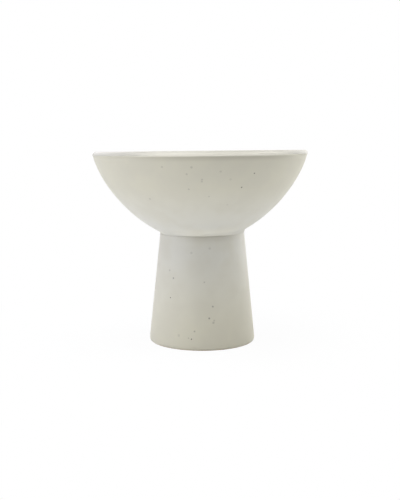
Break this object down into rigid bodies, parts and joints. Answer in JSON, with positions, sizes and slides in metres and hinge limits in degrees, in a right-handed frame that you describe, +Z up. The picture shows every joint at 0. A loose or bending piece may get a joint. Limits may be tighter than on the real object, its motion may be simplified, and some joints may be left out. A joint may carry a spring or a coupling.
{
  "type": "footed serving bowl",
  "caption": "Footed serving bowl in speckled off-white stoneware: a deep round bowl with a rolled lip, luted to a hollow pedestal that flares towards its foot.",
  "frame": {"origin": "on the table, under the centre of the rim", "axes": "+Z up through the centre of the rim; +X towards the side on which the rim is slightly higher, to the right in the picture; -Y towards the viewer of the picture"},
  "size_m": [0.22, 0.22, 0.1983],
  "materials": {
    "bowl_glaze": "satin off-white glaze with sparse iron specks",
    "coil_glaze": "satin off-white glaze with sparse iron specks",
    "pedestal_glaze": "satin off-white glaze with sparse iron specks"
  },
  "bodies": {
    "root": {"bowl": "bowl_glaze", "joint_coil": "coil_glaze", "pedestal": "pedestal_glaze"}
  },
  "joints": []
}
